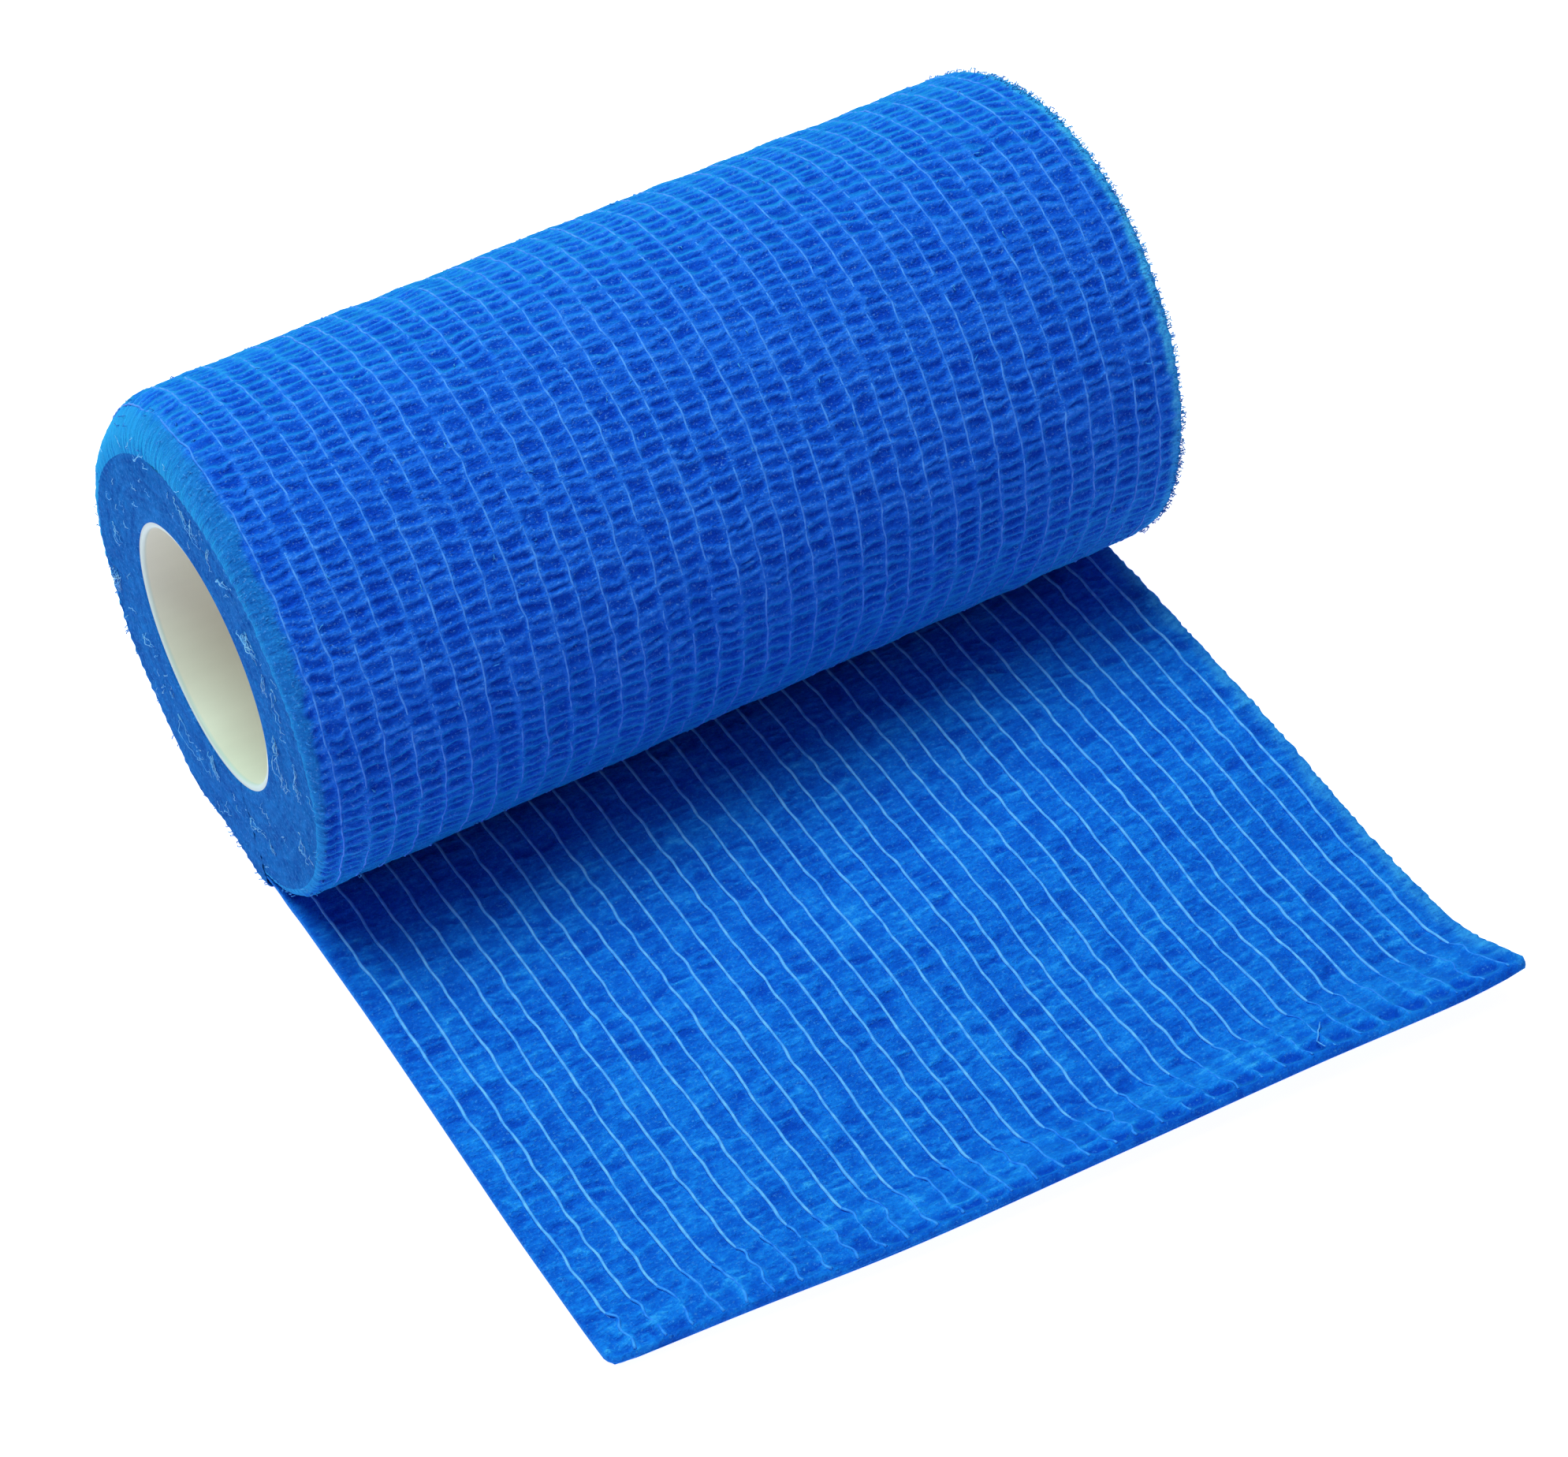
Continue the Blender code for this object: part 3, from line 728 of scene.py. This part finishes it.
def gatheredBand(x, forward, toCut, bandStart):
    # Past the threads' ends the cloth is gathered: wrinkles, then a row of deep cells between stiff walls
    wall = toSlackThread(x, forward)
    ridge, pocket = crepe(x - threads["stubShift"], forward + 40, bandCrepe)
    column = np.floor((x - threads["stubShift"] - weave["firstThread"]) / weave["threadPitch"])
    steep = smoothStep(x, -10, 30)  # the cells grow longer to the right, where the cloth curls up
    cellDepth = (0.6 + 0.4 * cellRandom(column, 0 * column, 63)) * (0.3 + 0.7 * smoothStep(x, -32, 8))
    cellAt = band["cellAt"] + band["cellAtGain"] * steep
    cellAt = cellAt + band["cellUneven"] * (2 * cellRandom(column, 0 * column, 64) - 1)
    cellLong = band["cellLong"] + band["cellLongGain"] * steep
    cells = np.exp(-(np.abs(toCut - cellAt) / cellLong) ** band["cellSharp"])
    cells = cells * smoothStep(wall, 0.2, 0.7) * cellDepth
    brow = np.exp(-((toCut - cellAt - 1.5 * cellLong) / band["browWidth"]) ** 2) * cellDepth
    walls = np.exp(-(wall / band["wallWidth"]) ** 2) * smoothStep(toCut, 0.2, 1.0)
    clear = 1 - smoothStep(cells, 0.1, 0.5)
    plain = np.exp(-((toCut - bandStart + 1.2) / 0.9) ** 2)  # just past the threads' ends the cloth is plain
    ridge, pocket = ridge * clear, pocket * clear * (1 - 0.8 * plain)
    height = bandCrepe["ridgeLift"] * ridge - bandCrepe["pocketDepth"] * pocket
    height = height - band["cellDepth"] * cells + band["wallLift"] * walls + band["browLift"] * brow
    ridge = ridge + band["wallTone"] * walls + band["plainTone"] * plain + band["browTone"] * brow
    # deep cells are painted darker: painted shade in them, on top of the pockets' painted shade
    pocket = np.clip(pocket * band["pocketShadeTone"] + band["cellShadeTone"] * cells, 0, 1.6)
    # painted shade: the cut edge turns away from the light, so its colour is darkened there
    paintedEdgeShade = band["paintedEdgeShade"] * (1 - smoothStep(toCut, 0.5, 1.0 + steep)) * smoothStep(x, -35, 5)
    return height, np.clip(ridge, 0, 1), pocket, paintedEdgeShade


def layFreeEnd():
    x, forward, root, sunk, depth = sheetPlaces()
    toCut = cutLine(x) - forward
    toEdge = np.minimum(half - np.abs(x), toCut)
    fade = smoothStep(toEdge, 0.05, 0.8) * smoothStep(forward - root, 0.0, 3.0)
    ridge, pocket = crepe(x, forward, tailCrepe)
    height = (tailCrepe["ridgeLift"] * ridge - tailCrepe["pocketDepth"] * pocket) * fade
    height = height + 0.08 * fade * smoothNoise(x / 5, forward / 4, 61)
    bandStart = cutLine(x) - smoothCurve(x, threads["endAcross"], threads["endForward"])
    inBand = 1 - smoothStep(toCut, bandStart - 1.2, bandStart + 1.0)
    bandHeight, bandRidge, bandPocket, paintedEdgeShade = gatheredBand(x, forward, toCut, bandStart)
    height = height * (1 - inBand) + bandHeight * inBand * smoothStep(toEdge, 0.05, 0.7)
    ridge = ridge * (1 - inBand) + inBand * bandRidge
    pocket = pocket * (1 - inBand) + inBand * bandPocket
    grid = tailPoint(x, forward, depth - height)
    under = tailPoint(x, forward, roll["thickness"] - sunk)
    under[..., 2] = np.maximum(under[..., 2], 0.0)
    grid[..., 2] = np.maximum(grid[..., 2], 0.0)
    # the right edge is cut less cleanly than the left one
    ragged = smoothNoise(forward / 0.4, 0 * x, 66) + 0.5 * smoothNoise(forward / 0.9, 0 * x, 67)
    grid[..., 0] += sheet["ragged"] * ragged * np.exp(-(half - x) / 0.5)
    # painted highlight on the crests and painted shade in the pockets go into the colour tone
    middleTone, ridgeHighlightTone, pocketShadeTone = tailCrepe["tone"]
    toneAndShade = middleTone + ridgeHighlightTone * ridge * fade - pocketShadeTone * pocket * fade
    # the cut edge's painted shade is taken off the tone here, beside a random tone
    toneAndShade = toneAndShade + 0.08 * smoothNoise(x / 3, forward / 2.2, 62) - paintedEdgeShade
    fray = 1 - smoothStep(half - x, 0.7, 2.0 + 0.5 * smoothNoise(forward / 2, 0 * x, 65))
    values = {"toneAndShade": toneAndShade, "fray": fray, "weave": np.stack([x, forward, 0 * x], -1) * mm}
    return gridPiece("freeEnd", grid, under, sheet["underSteps"], tailCloth, values), grid


freeEnd, sheetGrid = layFreeEnd()
print("free end made")


# Elastic threads round the roll. They dip under the crepe and come up at its ridges
def wrapThreads():
    points = int(2 * math.pi * threads["rollReach"] / threads["rollStep"])
    angle = roll["peel"] + np.linspace(0.02, 2 * math.pi - 0.3, points)
    along = alongCloth(angle)
    paths, radii = [], []
    for number in range(weave["threads"]):
        line = weave["firstThread"] + weave["threadPitch"] * number
        at = line + threadWobble(number + 0 * along, along, rollCrepe)
        ridge, pocket = crepe(at, along, rollCrepe)
        dips = smoothNoise(number * 3.7, along / 2.6, 73) + 0.6 * smoothNoise(number * 5.3, along / 0.9, 74)
        out = smoothStep(dips, -1.1, 0.6)
        radius = lapRadius(at, angle) + rumple(at, along) + rollCrepe["ridgeLift"] * ridge
        path = roundRoll(at, angle, radius - threads["rollSink"] + threads["rollRise"] * out)
        path[:, 2] = np.maximum(path[:, 2], 0.1)
        paths.append(path)
        radii.append(threads["rollRadius"] * (0.72 + 0.4 * np.clip(ridge * out, 0, 1)))
    return tubePiece("rollThreads", paths, radii, threads["sides"], buriedThread)


# Threads along the free end, and past their end line the slack rest of each, a little to the side
def layThreads():
    tautPaths, tautRadii, slackPaths, slackRadii = [], [], [], []
    for number in range(weave["threads"]):
        line = weave["firstThread"] + weave["threadPitch"] * number
        end = smoothCurve(np.array([line]), threads["endAcross"], threads["endForward"])[0]
        end += threads["endUneven"] * (2 * cellRandom(number, 0, 71) - 1)
        start = rootPoint(np.array([line]))[0][0] + 1.0
        along = np.linspace(start, end, int((end - start) / threads["tailStep"]))
        at = line + threadWobble(number + 0 * along, along, tailCrepe)
        at = at + threads["stubShift"] * 0.6 * smoothStep(along, end - 2.5, end) ** 2
        taper = 1 - smoothStep(along, end - 1.5, end)
        tautPaths.append(tailPoint(at, along, threads["tailSink"] - threads["tailRise"] * taper ** 0.5))
        uneven = 1 + 0.18 * smoothNoise(number * 2.3, along / 1.1, 75)
        tautRadii.append(threads["tailRadius"] * (0.45 + 0.55 * taper) * uneven)
        cutAt = acrossEnd(np.array([line]), "cutForward")[0]
        along = np.linspace(end - 0.6, cutAt - 0.3, threads["stubPoints"])
        at = line + slackLine(number + 0 * along, along) * smoothStep(along, end - 1.2, end + 0.8)
        bare = smoothStep(smoothNoise(number * 4.1, along / 1.4, 77), -0.6, 0.4)
        slackPaths.append(tailPoint(at, along, -0.04 - 0.1 * bare))
        thick = 1.1 - 0.4 * float(smoothStep(line, -10, 25))
        thick = thick + 0.15 * smoothNoise(number * 2.9, along / 0.8, 76)
        slackRadii.append(threads["stubRadius"] * thick)
    return (tubePiece("tailThreads", tautPaths, tautRadii, threads["sides"], tautThread),
            tubePiece("slackThreads", slackPaths, slackRadii, threads["sides"], slackThread))


rollThreads = wrapThreads()
tailThreads, slackThreads = layThreads()
print("threads made")

# Frayed fibres on the roll's left end: y and z of both ends of each wisp in mm, its strands and their radius
frays = {
    "wisps": [
        (21.7, 19.2, 22.0, 16.8, 12, 0.064), (19.8, 27.3, 18.4, 26.2, 4, 0.048),
        (16.4, 14.3, 14.2, 14.6, 3, 0.056), (0.0, 46.9, -2.2, 45.3, 4, 0.048),
        (-2.6, 46.6, -4.4, 44.6, 3, 0.048), (-6.4, 46.3, -6.6, 44.8, 3, 0.048),
        (-8.0, 43.5, -10.8, 44.6, 2, 0.064), (-12.8, 40.1, -15.3, 39.2, 12, 0.064),
        (-16.2, 37.6, -17.0, 35.4, 4, 0.048), (-18.2, 37.6, -19.6, 32.9, 2, 0.064),
        (-17.4, 29.4, -18.3, 23.6, 5, 0.056), (-21.3, 29.2, -21.8, 25.5, 3, 0.056),
        (1.5, 9.4, 0.4, 7.8, 8, 0.064), (9.8, 8.5, 2.2, 5.9, 3, 0.04),
        (-7.2, 8.6, -11.0, 9.3, 4, 0.048), (-12.0, 9.7, -12.8, 9.1, 4, 0.056),
        (-20.6, 18.2, -22.0, 16.7, 5, 0.056), (8.4, 46.8, 10.0, 44.6, 2, 0.04),
    ],
    "spread": 0.50, "curl": 0.45, "rise": 0.28, "points": 14, "sides": 4, "off": 0.02,
    "loose": 60, "looseFrom": (16.2, 25), "looseLength": (0.6, 1.8), "looseRadius": 0.04, "looseCurl": 0.72,
}
random = np.random.default_rng(11)


def strand(start, end, curl, rise, points):
    # A thin wavy line between two places, lifted off what it lies on along its middle
    share = np.linspace(0, 1, points)[:, None]
    start, end = np.asarray(start, float), np.asarray(end, float)
    wave = np.cumsum(random.normal(size=(points, 3)), 0)
    wave = (wave - wave[0] - share * (wave[-1] - wave[0])) * curl * np.linalg.norm(end - start) / points
    return start * (1 - share) + end * share + wave + np.asarray(rise) * np.sin(math.pi * share)


def frayEnd():
    x = -half - frays["off"]
    paths, radii = [], []
    for y0, z0, y1, z1, strands, radius in frays["wisps"]:
        for n in range(strands):
            shift = random.normal(size=4) * frays["spread"] * (n > 0)
            start, end = (x, y0 + shift[0], z0 + shift[1]), (x - 0.1, y1 + shift[2], z1 + shift[3])
            rise = (-frays["rise"] * random.uniform(0.2, 1), 0, 0)
            paths.append(strand(start, end, frays["curl"], rise, frays["points"]))
            radii.append(np.linspace(1.0, 0.5, frays["points"]) * radius)
    for n in range(frays["loose"]):
        angle = random.uniform(0, 2 * math.pi)
        out = random.uniform(*frays["looseFrom"])
        heading = random.uniform(0, 2 * math.pi)
        y, z = -out * math.sin(angle), axisHeight(-half) - out * math.cos(angle)
        length = random.uniform(*frays["looseLength"])
        end = (x - 0.05, y + length * math.cos(heading), z + length * math.sin(heading))
        paths.append(strand((x, y, z), end, frays["looseCurl"], (-0.1, 0, 0), frays["points"]))
        radii.append(np.linspace(1.0, 0.6, frays["points"]) * frays["looseRadius"])
    return tubePiece("frayedEnds", paths, radii, frays["sides"], frayedFibre)


frayedEnds = frayEnd()

# Short fibres that stand out of the slit edges and lie about on the cloth
fuzz = {
    "rightRim": 1300, "leftRim": 120, "tailRight": 700, "rollFace": 160, "tailFace": 200,
    "rimLength": (0.15, 0.55), "faceLength": (0.3, 0.8), "radius": 0.06, "points": 4, "sides": 3,
    "sideways": 1.6, "upward": 0.5, "curl": 0.9, "rise": 0.12,
}


def addFuzz(paths, count, grid, normals, columns, side, rows):
    # side is how strongly the fibres point out to the right (or to the left, where negative)
    for n in range(count):
        i, j = random.integers(rows[0], rows[1]), random.integers(columns[0], columns[1])
        heading = random.normal(size=3)
        normal = normals[i, j]
        heading -= normal * (heading @ normal)
        heading = heading / np.linalg.norm(heading) + np.array([fuzz["sideways"] * side, 0, 0])
        heading = heading + normal * (fuzz["upward"] * abs(side) + 0.05)
        length = random.uniform(*fuzz["rimLength" if side else "faceLength"])
        start = grid[i, j] + normal * 0.02
        end = start + heading / np.linalg.norm(heading) * length
        paths.append(strand(start, end, fuzz["curl"], normal * fuzz["rise"], fuzz["points"]))


def scatterFuzz():
    paths = []
    rows, columns = skin["rows"], skinGrid.shape[1]
    rollFaces = (skinGrid, skinNormals)
    addFuzz(paths, fuzz["rightRim"], *rollFaces, (columns - 9, columns - 1), 1.0, (0, rows))
    addFuzz(paths, fuzz["leftRim"], *rollFaces, (1, 9), -0.5, (0, rows))
    addFuzz(paths, fuzz["rollFace"], *rollFaces, (12, columns - 12), 0.0, (0, rows))
    rows, columns = sheetGrid.shape[:2]
    normals = surfaceNormals(sheetGrid)
    tailFaces = (sheetGrid, normals * np.sign(normals[..., 2].mean()))
    addFuzz(paths, fuzz["tailRight"], *tailFaces, (columns - 6, columns - 2), 1.0, (6, rows - 2))
    addFuzz(paths, fuzz["tailFace"], *tailFaces, (8, columns - 8), 0.0, (12, rows - 8))
    for path in paths:
        path[:, 2] = np.maximum(path[:, 2], fuzz["radius"])
    return tubePiece("shortFibres", paths, [fuzz["radius"]] * len(paths), fuzz["sides"], shortFibre)


shortFibres = scatterFuzz()

# One longer fibre lies across the gathered band near the right corner: places across and forward
longFibre = {
    "from": (27.2, 84.3), "to": (29.4, 82.0), "tail": (27.2, 85.6), "lift": 0.25, "radius": 0.08,
    "curl": 0.12,
}
spots = {}
for label in ("from", "to", "tail"):
    x, forward = longFibre[label]
    spots[label] = tailPoint(np.array([x]), np.array([forward]), np.array([-longFibre["lift"]]))[0]
fibrePaths = [strand(spots["from"], spots["to"], longFibre["curl"], (0, 0, 0.1), 8),
              strand(spots["from"], spots["tail"], longFibre["curl"], (0, 0, 0.05), 6)]
bandFibre = tubePiece("bandFibre", fibrePaths, [longFibre["radius"]] * 2, frays["sides"], tautThread)
print("fibres made")

# Core tube: a cylinder given its wall and rounded cut ends, more rounded inside than outside
tube = {
    "radius": 14.55, "wall": 0.8, "length": 100.1, "sides": 160, "lip": 0.35, "lipSteps": 4, "outerLip": 0.45,
}
bpy.ops.object.select_all(action="DESELECT")
bpy.ops.mesh.primitive_cylinder_add(
    vertices=tube["sides"], radius=tube["radius"] * mm, depth=tube["length"] * mm, end_fill_type="NOTHING",
    rotation=(0, math.pi / 2, 0))
coreTube = bpy.context.object
coreTube.name = coreTube.data.name = "coreTube"
bpy.ops.object.transform_apply(location=True, rotation=True, scale=True)
wall = coreTube.modifiers.new("wall", "SOLIDIFY")
wall.thickness, wall.offset = tube["wall"] * mm, -1
bpy.ops.object.modifier_apply(modifier="wall")
work = bmesh.new()
work.from_mesh(coreTube.data)
weights = work.edges.layers.float.new("bevel_weight_edge")
for edge in work.edges:
    first, second = [vert.co / mm for vert in edge.verts]
    out, otherOut = math.hypot(first.y, first.z), math.hypot(second.y, second.z)
    # only the rings round the cut ends are rounded
    if abs(first.x - second.x) < 0.01 and abs(out - otherOut) < 0.05:
        edge[weights] = 1.0 if out < tube["radius"] - tube["wall"] / 2 else tube["outerLip"]
work.to_mesh(coreTube.data)
work.free()
lip = coreTube.modifiers.new("lip", "BEVEL")
lip.width, lip.segments, lip.limit_method = tube["lip"] * mm, tube["lipSteps"], "WEIGHT"
bpy.ops.object.modifier_apply(modifier="lip")
for vert in coreTube.data.vertices:
    vert.co.z += axisHeight(vert.co.x / mm) * mm
coreTube.data.polygons.foreach_set("use_smooth", [True] * len(coreTube.data.polygons))
coreTube.data.materials.append(tubePlastic)
print("core tube made")

threadPieces = [rollThreads, tailThreads, slackThreads]
fibrePieces = [frayedEnds, shortFibres, bandFibre]
for piece in rollPieces + endPieces + [freeEnd] + threadPieces + fibrePieces:
    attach(piece, "root")
    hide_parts("bandage")
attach(coreTube, "root")
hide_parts("core_tube")

# Studio: a white paper floor, a large soft light overhead, a weaker one behind, a faint one at the left, and
# a dim even room. The lights' places, aims and sizes are in metres
bpy.ops.object.select_all(action="DESELECT")
bpy.ops.mesh.primitive_plane_add(size=6)
floor = bpy.context.object
floor.name = "floor"
# white backdrop paper, lit from behind so that it stays white where shade falls
paper, tree, shader = newMaterial("whitePaper", {
    "Roughness": 0.9, "Base Color": hexColour("#B0B0B0"), "Emission Color": hexColour("#E5E3FF"),
    "Emission Strength": 1.2})
floor.data.materials.append(paper)
lights = {  # place, aim, size, power and tint
    "key": ((-0.12, 0.13, 0.90), (0.0, -0.02, 0.02), 0.6, 10.8, "#DCFFEF"),
    "back": ((-0.15, 0.85, 0.40), (0.0, 0.0, 0.04), 0.5, 2.8, "#B4FFE0"),
    "side": ((-0.80, -0.30, 0.16), (-0.05, 0.0, 0.026), 0.45, 0.6, "#FFFFFF"),
}
for label, (place, aim, size, power, tint) in lights.items():
    data = bpy.data.lights.new(label, "AREA")
    data.shape, data.size, data.energy, data.color = "SQUARE", size, power, hexColour(tint)[:3]
    lamp = bpy.data.objects.new(label, data)
    scene.collection.objects.link(lamp)
    lamp.location = place
    away = np.array(place) - np.array(aim)
    tilt = math.atan2(math.hypot(away[0], away[1]), away[2])
    lamp.rotation_euler = (tilt, 0, math.atan2(away[0], -away[1]))
world = bpy.data.worlds.new("room")
world.use_nodes = True
room = world.node_tree.nodes["Background"]
room.inputs["Color"].default_value = hexColour("#F2EAFF")
room.inputs["Strength"].default_value = 0.18
scene.world = world
scene.view_settings.view_transform = "Standard"

# Camera, as fitted to the photograph
view = {
    "target": (-0.60, -29.81, 15.0), "distance": 402.93, "lens": 91.23, "sensor": 36.0,
    "yaw": math.radians(31.23), "pitch": math.radians(47.25),
}
cameraData = bpy.data.cameras.new("camera")
camera = bpy.data.objects.new("camera", cameraData)
scene.collection.objects.link(camera)
cameraData.lens, cameraData.sensor_width, cameraData.sensor_fit = view["lens"], view["sensor"], "HORIZONTAL"
cameraData.clip_start, cameraData.clip_end = 0.01, 20
camera.rotation_euler = Euler((math.pi / 2 - view["pitch"], 0, -view["yaw"]), "XYZ")
level = math.cos(view["pitch"])
back = (-math.sin(view["yaw"]) * level, -math.cos(view["yaw"]) * level, math.sin(view["pitch"]))
camera.location = [(t + view["distance"] * b) * mm for t, b in zip(view["target"], back)]
scene.camera = camera
print("studio made")
